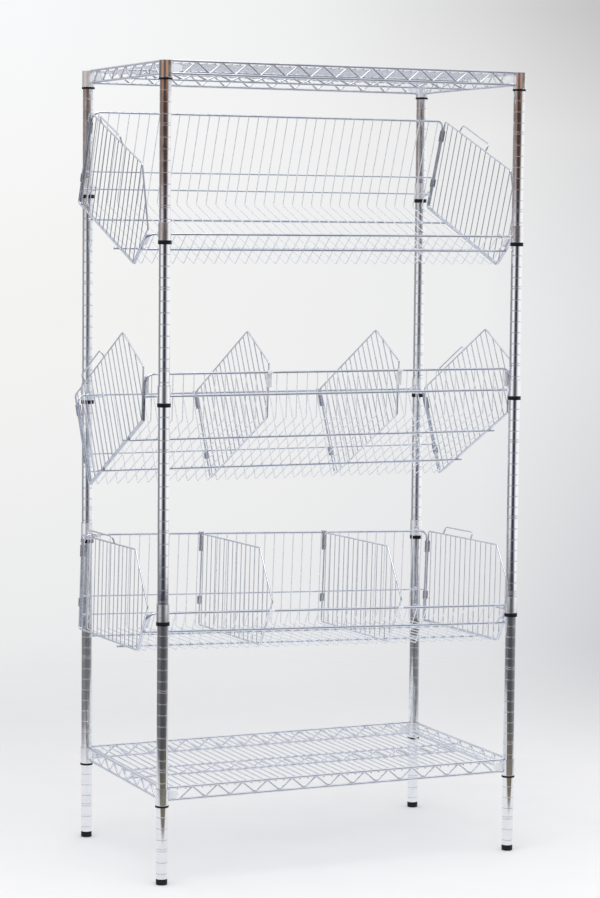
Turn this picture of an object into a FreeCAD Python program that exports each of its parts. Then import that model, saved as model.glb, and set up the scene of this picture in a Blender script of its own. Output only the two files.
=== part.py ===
import FreeCAD, Part
import math
import os
from FreeCAD import Vector as V, Placement, Rotation

# Merchandising rack: four grooved tube posts, a wire truss shelf at the top and
# near the floor, and three hanging wire baskets between them. Millimetres.
# +Z is up, +X to the right and -Y the front, where the baskets are filled from.
# The origin lies on the floor below the middle of the whole outline.

os.makedirs("parts", exist_ok=True)

# ---------------------------------------------------------------- dimensions
G = 25.4                     # pitch of the grooves along a post
POST_W = 872.0               # post centre to post centre, along X
POST_D = 498.0               # post centre to post centre, along Y
POST_R = 12.7                # post outside radius
POST_WALL = 1.4
POST_BOTTOM = 13.0
POST_TOP = 1815.0
GROOVE_DEEP = 0.5
GROOVE_HALF = 0.9

SLEEVE_CLEAR = 0.07          # split sleeve's corners to post; its facets come 0.06 closer
SLEEVE_FACETS = 16           # flats round each half sleeve
RING_R = 15.2                # exposed ring at the foot of a split sleeve
COLLAR_R0, COLLAR_R1 = 14.7, 14.3    # collar outside radius, foot and top
COLLAR_WALL = 0.9

TOP_SHELF_N = 70             # groove number that each sleeve's ring hangs under
BOTTOM_SHELF_N = 7
RING_DROP = 0.15 * G
RAIL_R = 3.0                 # shelf rails
LOW_RAIL, HIGH_RAIL = 14.5, 42.0     # rail centres above the ring's underside
TRUSS_R = 2.0                # zigzag wire
TRUSS_PITCH = 59.7
DECK_R = 1.7
DECK_PITCH = 19.9
DECK_COUNT = 43
DECK_Z = HIGH_RAIL - RAIL_R - DECK_R - 0.05
GUSSET_T = 1.5
GUSSET_L = 24.0

HOOK_SLOT0, HOOK_SLOT1 = 25.4, 45.2  # open slot, from the post's axis
HOOK_W = 6.0
HOOK_T = 2.5
HOOK_TOP = 19.0              # slot floor above the ring's underside
HOOK_LIP = 9.0
REST_GAP = 0.3

WIRE_R = 1.15                # basket mesh wire
WIRE_PITCH = 25.0
WIRE_COUNT = 36
ROD_R = 2.8                  # basket rim and carrying rods
END_R = 2.5                  # rim where it runs down the basket's ends
THIN_R = 1.9
BODY_X = 453.4               # end rod centre lines
CORNER_R = 20.0              # rim's bend radius
PANEL_R = 1.9                # frame wire of ends and dividers
PANEL_WIRE_R = 1.15
PANEL_PITCH = 26.0
PANEL_X = BODY_X + END_R + PANEL_R + 0.1

# basket section: u runs forward along the floor from the rear fold, v is normal to it
P5 = (0.0, 0.0)
P4 = (386.0, 0.0)
P1 = (5.0, 224.0)
P2 = (362.0, 225.0)
P3 = (446.5, 104.7)
BACK_TOP, BACK_MID, BACK_LOW = 224.06, 77.5, 34.0   # along the rear wall from P5
FRONT_TOP, FRONT_MID = 103.5, 54.5                  # along the front wall from P4
FLOOR_RODS = (100.0, 283.5)

# tier: groove numbers of the front and rear collars (left, right), which rods lie in the
# hooks (rear, front), how far the basket sits off centre, and how far inside each post's
# centre line its hook crosses the rod (front left, front right, rear left, rear right)
TIERS = {
    "upper": dict(front=(56, 56), rear=(60, 60), rods=("low", "top"), shift=-9.5, inside=(3.0, 21.5, 1.5, 1.0)),
    "middle": dict(front=(42, 42), rear=(41, 41), rods=("top", "mid"), shift=-17.1, inside=(16.0, 24.0, 14.5, 27.5)),
    "lower": dict(front=(23, 22), rear=(28, 27), rods=("top", "top"), shift=-8.5, inside=(6.0, 17.0, 11.0, 15.5)),
}
DIVIDERS = (-155.5, 169.0)   # divider planes in the basket's own X
DIVIDER_INSET = 6.35
DIVIDER_RAISE = 3.6

# the outline's middle, so that the origin stands below it
FRAME_X, FRAME_Y = 9.5, 0.0

POSTS = {
    "front_left": (-POST_W / 2, -POST_D / 2),
    "front_right": (POST_W / 2, -POST_D / 2),
    "rear_left": (-POST_W / 2, POST_D / 2),
    "rear_right": (POST_W / 2, POST_D / 2),
}


# ------------------------------------------------------------------ helpers
def bar(p0, p1, r, n=8):
    """Straight wire from p0 to p1: an eight-sided prism with flats r from its axis."""
    p0, p1 = V(*p0), V(*p1)
    d = p1 - p0
    length = d.Length
    d.normalize()
    a = V(0, 0, 1) if abs(d.z) < 0.9 else V(1, 0, 0)
    x = d.cross(a)
    x.normalize()
    y = d.cross(x)
    rr = r / math.cos(math.pi / n)
    pts = [p0 + x * (rr * math.cos(2 * math.pi * (k + 0.5) / n)) + y * (rr * math.sin(2 * math.pi * (k + 0.5) / n))
           for k in range(n)]
    return Part.Face(Part.makePolygon(pts + [pts[0]])).extrude(d * length)


def chain(points, r, closed=False):
    """Wires joined end to end, each run a little long so that the bends close."""
    out = []
    n = len(points)
    for i in range(n if closed else n - 1):
        a, b = V(*points[i]), V(*points[(i + 1) % n])
        d = b - a
        d.normalize()
        ea = r * 0.42 if (closed or i > 0) else 0.0
        eb = r * 0.42 if (closed or i < n - 2) else 0.0
        out.append(bar(tuple(a - d * ea), tuple(b + d * eb), r))
    return out


def fuse(shapes):
    if len(shapes) == 1:
        return shapes[0]
    s = shapes[0].multiFuse(shapes[1:])
    if len(s.Solids) == 1:
        return s.Solids[0]
    return s


def revolve(profile, angle=360.0, start=0.0):
    """Turn an (r, z) outline about the Z axis."""
    pts = [V(r, 0, z) for r, z in profile]
    f = Part.Face(Part.makePolygon(pts + [pts[0]]))
    s = f.revolve(V(0, 0, 0), V(0, 0, 1), angle)
    if start:
        s.rotate(V(0, 0, 0), V(0, 0, 1), start)
    return s


def box(x0, x1, y0, y1, z0, z1):
    return Part.makeBox(x1 - x0, y1 - y0, z1 - z0, V(x0, y0, z0))


def at(shape, x, y, z):
    s = shape.copy()
    s.translate(V(x, y, z))
    return s


def save(name, shapes, check=None):
    if not isinstance(shapes, (list, tuple)):
        shapes = [shapes]
    solids = []
    for s in shapes:
        solids += s.Solids
    off = V(FRAME_X, FRAME_Y, 0)
    moved = []
    for s in solids:
        s = s.copy()
        s.translate(off)
        moved.append(s)
    out = moved[0] if len(moved) == 1 else Part.makeCompound(moved)
    out.exportStep("parts/%s.step" % name)
    bb = out.BoundBox
    bad = [i for i, s in enumerate(moved) if not s.isValid()]
    print("%-34s solids %3d  vol %10.1f  x %8.1f %8.1f  y %8.1f %8.1f  z %8.1f %8.1f %s" % (
        name, len(moved), sum(s.Volume for s in moved), bb.XMin, bb.XMax, bb.YMin, bb.YMax, bb.ZMin, bb.ZMax,
        ("INVALID %s" % bad) if bad else ""))
    if check and len(moved) != check:
        print("  expected", check, "solids")


def ring_z(n):
    """Underside of the ring of a sleeve that locks on groove n+1."""
    return n * G - RING_DROP


# -------------------------------------------------------------------- posts
def groove_heights():
    hs = [G * k for k in range(1, 72) if G * k < POST_TOP - 3]
    hs += [G * (3 + 7 * j) + 5.0 for j in range(0, 10) if G * (3 + 7 * j) + 5.0 < POST_TOP - 3]
    return sorted(hs)


def post():
    prof = [(POST_R - POST_WALL, POST_BOTTOM), (POST_R - 0.3, POST_BOTTOM), (POST_R, POST_BOTTOM + 0.3)]
    for h in groove_heights():
        prof += [(POST_R, h - GROOVE_HALF), (POST_R - GROOVE_DEEP, h - 0.25), (POST_R - GROOVE_DEEP, h + 0.25),
                 (POST_R, h + GROOVE_HALF)]
    prof += [(POST_R, POST_TOP), (POST_R - POST_WALL, POST_TOP)]
    return revolve(prof)


one_post = post()
for name, (x, y) in POSTS.items():
    save("post_" + name, at(one_post, x, y, 0))

# cap: a low dome with a plug that sits in the tube
IR = POST_R - POST_WALL
cap = revolve([(0, POST_TOP + 2.6), (6.0, POST_TOP + 2.3), (10.4, POST_TOP + 1.5), (12.4, POST_TOP + 0.4),
               (12.4, POST_TOP), (IR - 0.05, POST_TOP), (IR - 0.05, POST_TOP - 12.0), (IR - 1.8, POST_TOP - 13.0),
               (IR - 1.8, POST_TOP - 0.8), (0, POST_TOP - 0.8)])
save("post_caps", [at(cap, x, y, 0) for x, y in POSTS.values()], 4)

# threaded insert pressed into each tube's foot
STUD_R = 4.7
insert = revolve([(STUD_R + 0.1, POST_BOTTOM + 0.6), (IR - 0.03, POST_BOTTOM + 0.6), (IR - 0.03, POST_BOTTOM + 22.0),
                  (8.4, POST_BOTTOM + 24.0), (8.4, POST_BOTTOM + 30.0), (STUD_R + 0.1, POST_BOTTOM + 30.0)])
save("levelling_inserts", [at(insert, x, y, 0) for x, y in POSTS.values()], 4)

# levelling foot: moulded foot on a steel stud
foot = revolve([(0, 0), (11.9, 0), (12.6, 0.7), (12.9, 4.0), (12.9, 10.4), (12.0, 12.6), (STUD_R, 12.6),
                (STUD_R, POST_BOTTOM + 46.0), (STUD_R - 1.0, POST_BOTTOM + 47.0), (0, POST_BOTTOM + 47.0)])
for name, (x, y) in POSTS.items():
    save("levelling_foot_" + name, at(foot, x, y, 0))


# ------------------------------------------------------- sleeves and collars
def faceted(profile, angle, start, n):
    """Turn an (r, z) outline about the Z axis in n flat steps. The outline's corners keep their radius."""
    rings = []
    for k in range(n + 1):
        a = math.radians(start + angle * k / n)
        rings.append([V(r * math.cos(a), r * math.sin(a), z) for r, z in profile])
    m = len(profile)
    faces = [Part.Face(Part.makePolygon(rings[0] + [rings[0][0]])), Part.Face(Part.makePolygon(rings[-1] + [rings[-1][0]]))]
    for p, q in zip(rings[:-1], rings[1:]):
        for i in range(m):
            j = (i + 1) % m
            faces.append(Part.Face(Part.makePolygon([p[i], q[i], q[j], p[j], p[i]])))
    s = Part.makeSolid(Part.makeShell(faces))
    if s.Volume < 0:
        s.reverse()
    return s


def sleeve_half(tall, ring, start):
    """Half of a tapered split sleeve: exposed ring at its foot, bead that locks in a groove."""
    ri = POST_R + SLEEVE_CLEAR
    o0, o1 = COLLAR_R0 - COLLAR_WALL - 0.03, COLLAR_R1 - COLLAR_WALL - 0.03
    bead = RING_DROP + G
    prof = [(ri, 0.0), (RING_R - 0.5, 0.0), (RING_R, 0.6), (RING_R, ring - 0.5), (RING_R - 0.4, ring),
            (o0, ring), (o1, tall), (ri, tall),
            (ri, bead + 0.5), (ri - 0.3, bead), (ri, bead - 0.5)]
    return faceted(prof, 176.0, start, SLEEVE_FACETS)


def sleeves(tall, ring, places):
    a, b = sleeve_half(tall, ring, 2.0), sleeve_half(tall, ring, 182.0)
    out = []
    for x, y, z in places:
        out += [at(a, x, y, z), at(b, x, y, z)]
    return out


def collar(z0, z1):
    """Tapered steel collar that wedges down over a split sleeve."""
    return revolve([(COLLAR_R0 - COLLAR_WALL, z0), (COLLAR_R0 - 0.2, z0), (COLLAR_R0, z0 + 0.3),
                    (COLLAR_R1, z1 - 0.3), (COLLAR_R1 - 0.2, z1), (COLLAR_R1 - COLLAR_WALL, z1)])


RING_TIER, TALL_TIER = 8.6, 44.0
RING_SHELF, TALL_SHELF = 4.6, 38.0


def hook_collar(x, y, z, turn):
    """Collar with a J hook that points into the rack, turned towards its middle."""
    body = collar(RING_TIER + 0.2, 47.6)
    arm = box(-HOOK_W / 2, HOOK_W / 2, COLLAR_R0 - 0.7, HOOK_SLOT1 + HOOK_T, HOOK_TOP - HOOK_T, HOOK_TOP)
    lip = box(-HOOK_W / 2, HOOK_W / 2, HOOK_SLOT1, HOOK_SLOT1 + HOOK_T, HOOK_TOP - HOOK_T, HOOK_TOP + HOOK_LIP)
    root = box(-HOOK_W / 2, HOOK_W / 2, COLLAR_R0 - 0.7, COLLAR_R0 + 2.2, HOOK_TOP - HOOK_T - 5.0, HOOK_TOP + 14.0)
    hook = arm.multiFuse([lip, root]).removeSplitter()
    inner = Part.makeCylinder(COLLAR_R0 - 0.45, 60.0, V(0, 0, -2), V(0, 0, 1))
    hook = hook.cut(inner)
    s = body.fuse(hook)
    front = y < 0
    right = x > 0
    turn = turn if right else -turn                  # front posts: towards +Y, leaning inwards
    if not front:
        turn = 180.0 - turn
    s = s.Solids[0] if len(s.Solids) == 1 else s
    s.rotate(V(0, 0, 0), V(0, 0, 1), turn)
    return at(s, x, y, z)


def tier_places(t):
    fl, fr = TIERS[t]["front"]
    rl, rr = TIERS[t]["rear"]
    n = {"front_left": fl, "front_right": fr, "rear_left": rl, "rear_right": rr}
    return [(x, y, ring_z(n[k])) for k, (x, y) in POSTS.items()]


# ------------------------------------------------------------------ shelves
def zigzag(length, pitch, zlo, zhi, r):
    """Zigzag wire in the XZ plane, between two rail centre lines, even about x = 0."""
    n = max(2, 2 * int(round(length / pitch)))
    step = length / n
    pts = []
    for i in range(n + 1):
        pts.append((-length / 2 + i * step, 0.0, zhi if i % 2 else zlo))
    return chain(pts, r)


def side_truss(length, turn, x, y, z0):
    """Two rails with a zigzag between them."""
    shapes = [bar((-length / 2, 0, z), (length / 2, 0, z), RAIL_R) for z in (LOW_RAIL, HIGH_RAIL)]
    shapes += zigzag(length - 2 * GUSSET_L - 6.0, TRUSS_PITCH, LOW_RAIL + 1.6, HIGH_RAIL - 1.6, TRUSS_R)
    s = fuse(shapes)
    s = s.copy()
    if turn:
        s.rotate(V(0, 0, 0), V(0, 0, 1), turn)
    return at(s, x, y, z0)


def shelf_collar(x, y, z0):
    """Corner collar with two gusset wings that run between the rails."""
    s = collar(RING_SHELF + 0.2, 42.6)
    sx, sy = (1 if x < 0 else -1), (1 if y < 0 else -1)
    lo, hi = LOW_RAIL + RAIL_R + 0.05, DECK_Z - DECK_R - 0.6
    wings = []
    for along in ("x", "y"):
        pts = [(COLLAR_R0 - 0.35, lo), (COLLAR_R0 + GUSSET_L - 8.0, lo), (COLLAR_R0 + GUSSET_L, lo + 5.0),
               (COLLAR_R0 + GUSSET_L, hi - 5.0), (COLLAR_R0 + GUSSET_L - 8.0, hi), (COLLAR_R0 - 0.35, hi)]
        if along == "x":
            w = Part.makePolygon([V(sx * a, -GUSSET_T / 2, b) for a, b in pts + [pts[0]]])
            w = Part.Face(w).extrude(V(0, GUSSET_T, 0))
        else:
            w = Part.makePolygon([V(-GUSSET_T / 2, sy * a, b) for a, b in pts + [pts[0]]])
            w = Part.Face(w).extrude(V(GUSSET_T, 0, 0))
        wings.append(w)
    s = s.multiFuse(wings)
    s = s.Solids[0] if len(s.Solids) == 1 else s
    return at(s, x, y, z0)


def shelf(name, n):
    z0 = ring_z(n)
    places = [(x, y, z0) for x, y in POSTS.values()]
    save(name + "_split_sleeves", sleeves(TALL_SHELF, RING_SHELF, places), 8)
    save(name + "_corner_collars", [shelf_collar(*p) for p in places], 4)
    run_x = POST_W - 2 * (COLLAR_R0 + 0.1)
    run_y = POST_D - 2 * (COLLAR_R0 + 0.1)
    save(name + "_long_trusses", [side_truss(run_x, 0, 0, s * POST_D / 2, z0) for s in (-1, 1)], 2)
    save(name + "_end_trusses", [side_truss(run_y, 90, s * POST_W / 2, 0, z0) for s in (-1, 1)], 2)
    # deck: wires from front to rear under the top rails, on one rail along the middle
    zd = z0 + DECK_Z
    ye = POST_D / 2 - TRUSS_R - 0.2
    mid_r = 2.5
    mid_z = zd - DECK_R - mid_r + 0.4
    xr = POST_W / 2 - RAIL_R - 0.2
    deck = [bar((-xr, 0, mid_z), (xr, 0, mid_z), mid_r)]
    for i in range(DECK_COUNT):
        x = (i - (DECK_COUNT - 1) / 2) * DECK_PITCH
        deck.append(bar((x, -ye, zd), (x, ye, zd), DECK_R))
    save(name + "_deck", fuse(deck), 1)
    top = mid_z - mid_r - TRUSS_R * 1.25
    tr = [bar((-xr, 0, z0 + LOW_RAIL), (xr, 0, z0 + LOW_RAIL), mid_r)]
    tr += [at(s, 0, 0, 0) for s in zigzag(xr * 2 - 30.0, TRUSS_PITCH, z0 + LOW_RAIL + 1.4, top, TRUSS_R)]
    save(name + "_middle_truss", fuse(tr), 1)


shelf("top_shelf", TOP_SHELF_N)
shelf("bottom_shelf", BOTTOM_SHELF_N)


# ------------------------------------------------------------------ baskets
def unit(a, b):
    dx, dy = b[0] - a[0], b[1] - a[1]
    n = math.hypot(dx, dy)
    return (dx / n, dy / n)


EB = unit(P5, P1)                      # up the rear wall
NB = (-EB[1], EB[0])                   # out of it
EF = unit(P4, P3)                      # up the front wall
NF = (EF[1], -EF[0])                   # out of it


def on_back(s, out=0.0):
    return (P5[0] + EB[0] * s + NB[0] * out, P5[1] + EB[1] * s + NB[1] * out)


def on_front(s, out=0.0):
    return (P4[0] + EF[0] * s + NF[0] * out, P4[1] + EF[1] * s + NF[1] * out)


OUT_THIN = WIRE_R + THIN_R - 0.3
OUT_ROD = WIRE_R + ROD_R - 0.4
CARRY = {
    ("rear", "top"): (on_back(BACK_TOP), ROD_R),
    ("rear", "low"): (on_back(BACK_LOW, OUT_THIN), THIN_R),
    ("front", "top"): (on_front(FRONT_TOP), ROD_R),
    ("front", "mid"): (on_front(FRONT_MID, OUT_ROD), ROD_R),
}


def basket_place(t):
    """Where the basket comes to rest when its two carrying rods lie in the hooks."""
    d = TIERS[t]
    (ra, rr), (fa, fr) = CARRY[("rear", d["rods"][0])], CARRY[("front", d["rods"][1])]
    zr = (ring_z(d["rear"][0]) + ring_z(d["rear"][1])) / 2 + HOOK_TOP + REST_GAP + rr
    zf = (ring_z(d["front"][0]) + ring_z(d["front"][1])) / 2 + HOOK_TOP + REST_GAP + fr
    du, dv = fa[0] - ra[0], fa[1] - ra[1]
    length = math.hypot(du, dv)
    dz = zf - zr
    h = math.sqrt(length * length - dz * dz)
    theta = math.atan2(dz, h) - math.atan2(dv, du)
    yr = h / 2
    # rear rod: y = y5 - u cos + v sin, z = z5 + u sin + v cos
    y5 = yr + ra[0] * math.cos(theta) - ra[1] * math.sin(theta)
    z5 = zr - ra[0] * math.sin(theta) - ra[1] * math.cos(theta)
    drop = (d["front"][0] - d["front"][1]) * G
    hook_x = POST_W / 2 - sum(d["inside"]) / 4
    rho = math.degrees(math.atan2(drop / 2, hook_x))
    z5 -= d["shift"] * math.sin(math.radians(rho))    # the slope turns about the rack's middle
    rot = Rotation(V(0, 1, 0), rho).multiply(Rotation(V(1, 0, 0), -math.degrees(theta)))
    print("  %s: tilt %.2f deg, side slope %.2f deg, rods at y +-%.1f, fold at y %.1f z %.1f" % (
        t, math.degrees(theta), rho, yr, y5, z5))
    return Placement(V(d["shift"], y5, z5), rot), yr


def L(x, uv):
    """Basket coordinates: X across, -Y along u, Z along v."""
    return (x, -uv[0], uv[1])


def wires_x():
    return [(i - (WIRE_COUNT - 1) / 2) * WIRE_PITCH for i in range(WIRE_COUNT)]


def rim(s_foot, s_top, on):
    """Rim along the top of a wall, round its two corners and down both ends."""
    xs = BODY_X
    k = CORNER_R
    top = on(s_top)
    out = [bar(L(-xs + k, top), L(xs - k, top), ROD_R)]
    for sg in (-1, 1):
        prev = (sg * (xs - k), s_top)
        for a in (30.0, 60.0, 90.0):
            p = (sg * (xs - k + k * math.sin(math.radians(a))), s_top - k + k * math.cos(math.radians(a)))
            out.append(bar(L(prev[0], on(prev[1])), L(p[0], on(p[1])), END_R))
            prev = p
        out.append(bar(L(prev[0], on(prev[1] + 0.8)), L(prev[0], on(s_foot)), END_R))
    return out


def back_wall():
    shapes = rim(END_R + 0.05, BACK_TOP, on_back)
    xs = BODY_X
    for s in (BACK_MID, BACK_LOW):
        shapes.append(bar(L(-xs, on_back(s, OUT_THIN)), L(xs, on_back(s, OUT_THIN)), THIN_R))
    for x in wires_x():
        shapes.append(bar(L(x, on_back(WIRE_R + 0.05)), L(x, on_back(BACK_TOP - 0.6)), WIRE_R))
    return fuse(shapes)


def front_wall():
    shapes = rim(4.4, FRONT_TOP, on_front)
    xs = BODY_X
    shapes.append(bar(L(-xs - 2.4, on_front(FRONT_MID, OUT_ROD)), L(xs + 2.4, on_front(FRONT_MID, OUT_ROD)), ROD_R))
    for x in wires_x():
        shapes.append(bar(L(x, on_front(2.0)), L(x, on_front(FRONT_TOP - 0.6)), WIRE_R))
    return fuse(shapes)


def floor_mesh():
    u0, u1 = 0.0, P4[0]
    shapes = []
    for sg in (-1, 1):
        shapes.append(bar(L(sg * BODY_X, (u0 - END_R * 0.3, 0)), L(sg * BODY_X, (u1 + END_R * 0.3, 0)), END_R))
    for u in FLOOR_RODS:
        shapes.append(bar(L(-BODY_X - 14.0, (u, -OUT_ROD)), L(BODY_X + 14.0, (u, -OUT_ROD)), ROD_R))
    for x in wires_x():
        shapes.append(bar(L(x, (u0 - WIRE_R * 0.3, 0)), L(x, (u1 + WIRE_R * 0.3, 0)), WIRE_R))
    return fuse(shapes)


def inset_corner(p, d1, n1, o1, q, d2, n2, o2):
    """Where two section lines meet after each is moved inwards."""
    ax, ay = p[0] + n1[0] * o1, p[1] + n1[1] * o1
    bx, by = q[0] + n2[0] * o2, q[1] + n2[1] * o2
    det = d1[0] * (-d2[1]) - (-d2[0]) * d1[1]
    t = ((bx - ax) * (-d2[1]) - (-d2[0]) * (by - ay)) / det
    return (ax + d1[0] * t, ay + d1[1] * t)


def panel(x, back_in=0.0, floor_in=0.0, front_in=0.0):
    """Five-sided wire panel: frame and parallel wires square to the floor."""
    c5 = inset_corner(P5, EB, NB, -back_in, P5, (1, 0), (0, 1), floor_in)
    c4 = inset_corner(P4, EF, NF, -front_in, P4, (1, 0), (0, 1), floor_in)
    c1 = inset_corner(P5, EB, NB, -back_in, P1, unit(P1, P2), (0, 1), 0.0)
    c3 = inset_corner(P4, EF, NF, -front_in, P3, unit(P3, P2), (0, 1), 0.0)
    c2 = P2
    corners = [c5, c4, c3, c2, c1]
    shapes = chain([L(x, c) for c in corners], PANEL_R, closed=True)

    def top_at(u):
        a, b = (c1, c2) if u <= c2[0] else (c2, c3)
        return a[1] + (b[1] - a[1]) * (u - a[0]) / (b[0] - a[0])

    def low_at(u):
        if u <= c4[0]:
            return c5[1]
        return c4[1] + (c3[1] - c4[1]) * (u - c4[0]) / (c3[0] - c4[0])

    u = 14.0 + PANEL_PITCH * 0.25
    while u < c3[0] - 14.0:
        if top_at(u) - low_at(u) > 16.0 and u > c1[0] + 5.0:
            shapes.append(bar(L(x, (u, low_at(u))), L(x, (u, top_at(u))), PANEL_WIRE_R))
        u += PANEL_PITCH
    return fuse(shapes), corners


HANDLE_T = (0.22, 0.62)
HANDLE_UP = 18.5
HANDLE_LEAN = 23.0           # outwards, so that fingers reach under it
HANDLE_R = 1.9


def handle(x):
    """Fixed bail on an end panel's top edge."""
    lean = math.radians(HANDLE_LEAN)
    side = 1 if x > 0 else -1
    e = unit(P1, P2)
    n = (-e[1], e[0])
    span = math.hypot(P2[0] - P1[0], P2[1] - P1[1])
    a = (P1[0] + e[0] * span * HANDLE_T[0], P1[1] + e[1] * span * HANDLE_T[0])
    b = (P1[0] + e[0] * span * HANDLE_T[1], P1[1] + e[1] * span * HANDLE_T[1])
    lo = PANEL_R + 0.9
    k = 6.0
    pts = [(a, 0.0, lo), (a, 0.0, HANDLE_UP - k), (a, k, HANDLE_UP),
           (b, -k, HANDLE_UP), (b, 0.0, HANDLE_UP - k), (b, 0.0, lo)]
    line = []
    for foot, along, up in pts:
        h = up * math.cos(lean)
        line.append((x + side * up * math.sin(lean), -(foot[0] + e[0] * along + n[0] * h), foot[1] + e[1] * along + n[1] * h))
    return fuse(chain(line, HANDLE_R))


CLIP_W = 11.0
CLIP_T = 1.2


def clip_plate(x0, x1, s0, s1, on, inward, t=CLIP_T):
    """Flat plate parallel to a wall, from s0 to s1 along it, its outer face inward from the wall."""
    a, b, c, d = on(s0, -inward), on(s1, -inward), on(s1, -inward - t), on(s0, -inward - t)
    w = Part.makePolygon([V(*L(x0, p)) for p in (a, b, c, d, a)])
    return Part.Face(w).extrude(V(x1 - x0, 0, 0))


def hook_over(x0, x1, s_rod, r, on, drop_in, drop_out):
    """Strip bent over a rod from inside: down drop_in on the inside and drop_out outside."""
    g = 0.35
    t = CLIP_T
    i0, i1 = r + g, r + g + t
    top = s_rod + r + g
    outer = [(s_rod - drop_in, -i0), (s_rod - drop_in, -i1), (top + t, -i1), (top + t, i1), (s_rod - drop_out, i1),
             (s_rod - drop_out, i0), (top, i0), (top, -i0)]
    pts = [V(*L(x0, on(s, o))) for s, o in outer]
    w = Part.makePolygon(pts + [pts[0]])
    return Part.Face(w).extrude(V(x1 - x0, 0, 0))


CLIP_IN = ROD_R + 0.35       # a divider clip's outer face, inward from a wall


def divider_clips(x):
    """Three sheet clips on one divider: two at the rear edge, one at the front.

    Two hang on the rim and all lie inside the mesh, so the divider can be moved along.
    Each lies against the divider's frame wire."""
    w = CLIP_W / 2
    rear = hook_over(x - w, x + w, BACK_TOP, ROD_R, on_back, 42.0, 2.0)
    low = clip_plate(x - w, x + w, 54.0, 74.0, on_back, CLIP_IN)
    front = hook_over(x - w - 1.0, x + w + 1.0, FRONT_TOP, ROD_R, on_front, 34.0, 2.0)
    return [rear, low, front]


def end_clips(sg):
    """Sheet clips that hold an end panel to the rim: two channels at the rear, a plate at the front."""
    xo = PANEL_X + PANEL_R + 0.05
    xi = BODY_X - END_R - 0.05
    t, depth, g = CLIP_T, 3.4, 0.05
    out = []
    for s0, s1 in ((BACK_TOP - 52.0, BACK_TOP - 24.0), (54.0, 74.0)):
        prof = [(xi - t, -depth), (xi, -depth), (xi, END_R + g), (xo, END_R + g), (xo, -depth), (xo + t, -depth),
                (xo + t, END_R + g + t), (xi - t, END_R + g + t)]
        pts = [V(*L(sg * a, on_back(s0, o))) for a, o in prof]
        f = Part.Face(Part.makePolygon(pts + [pts[0]]))
        out.append(f.extrude(V(*L(0, on_back(s1))) - V(*L(0, on_back(s0)))))
    x0, x1 = sorted((sg * (BODY_X - 10.5), sg * (PANEL_X - PANEL_R - 0.05)))
    out.append(clip_plate(x0, x1, 61.5, 99.0, on_front, END_R + 0.4))
    return out


def placed(shape, pl):
    s = shape.copy()
    s.Placement = pl.multiply(s.Placement)
    return s


back, front, floor = back_wall(), front_wall(), floor_mesh()
for t in TIERS:
    pl, rod_y = basket_place(t)
    nm = t + "_basket_"
    places = tier_places(t)
    turns = [math.degrees(math.atan2(i, POST_D / 2 - rod_y)) for i in TIERS[t]["inside"]]
    save(nm + "split_sleeves", sleeves(TALL_TIER, RING_TIER, places), 8)
    save(nm + "hook_collars", [hook_collar(*p, a) for p, a in zip(places, turns)], 4)
    save(nm + "back_mesh", placed(back, pl), 1)
    save(nm + "front_mesh", placed(front, pl), 1)
    save(nm + "floor_mesh", placed(floor, pl), 1)
    handles, clips = [], []
    for side, sg in (("left", -1), ("right", 1)):
        p, _ = panel(sg * PANEL_X, 0.0, 1.3, 0.0)
        save(nm + side + "_end", placed(p, pl), 1)
        handles.append(placed(handle(sg * PANEL_X), pl))
        clips += [placed(c, pl) for c in end_clips(sg)]
    save(nm + "handles", handles, 2)
    save(nm + "end_clips", clips, 6)
    if t != "upper":
        for side, x in (("left", DIVIDERS[0]), ("right", DIVIDERS[1])):
            p, _ = panel(x, DIVIDER_INSET, DIVIDER_RAISE, DIVIDER_INSET)
            save(nm + side + "_divider", placed(p, pl), 1)
            save(nm + side + "_divider_clips", [placed(c, pl) for c in divider_clips(x)], 3)
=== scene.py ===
import math

import bmesh
import bpy
import numpy as np
from mathutils import Matrix, Vector


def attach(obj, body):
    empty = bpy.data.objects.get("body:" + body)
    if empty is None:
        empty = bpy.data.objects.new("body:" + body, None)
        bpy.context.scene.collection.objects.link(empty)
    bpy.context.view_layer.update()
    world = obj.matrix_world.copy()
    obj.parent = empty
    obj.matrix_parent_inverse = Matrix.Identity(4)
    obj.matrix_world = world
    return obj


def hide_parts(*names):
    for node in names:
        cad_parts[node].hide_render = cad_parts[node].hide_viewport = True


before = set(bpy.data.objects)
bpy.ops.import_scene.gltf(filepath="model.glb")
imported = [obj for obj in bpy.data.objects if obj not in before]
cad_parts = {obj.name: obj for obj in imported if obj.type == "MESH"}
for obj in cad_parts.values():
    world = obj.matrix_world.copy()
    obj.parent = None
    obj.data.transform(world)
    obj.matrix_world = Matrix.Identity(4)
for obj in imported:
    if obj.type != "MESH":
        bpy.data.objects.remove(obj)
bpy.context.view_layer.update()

# Looks for the bakery rack. Shapes are built in millimetres with the same
# dimensions as part.py, and turned into metres when a piece is made.

# ---------------------------------------------------------------- dimensions
G = 25.4
POST_W, POST_D = 872.0, 498.0
POST_R, POST_WALL = 12.7, 1.4
POST_BOTTOM, POST_TOP = 13.0, 1815.0
RING_R = 15.2
COLLAR_R0, COLLAR_R1, COLLAR_WALL = 14.7, 14.3, 0.9
TOP_SHELF_N, BOTTOM_SHELF_N = 70, 7
RING_DROP = 0.15 * G
RAIL_R, LOW_RAIL, HIGH_RAIL = 3.0, 14.5, 42.0
TRUSS_R, TRUSS_PITCH = 2.0, 59.7
DECK_R, DECK_PITCH, DECK_COUNT = 1.7, 19.9, 43
DECK_Z = HIGH_RAIL - RAIL_R - DECK_R - 0.05
GUSSET_T, GUSSET_L = 1.5, 24.0
HOOK_SLOT1, HOOK_W, HOOK_T, HOOK_TOP, HOOK_LIP, REST_GAP = 45.2, 6.0, 2.5, 19.0, 9.0, 0.3
WIRE_R, WIRE_PITCH, WIRE_COUNT = 1.15, 25.0, 36
ROD_R, END_R, THIN_R = 2.8, 2.5, 1.9
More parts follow.
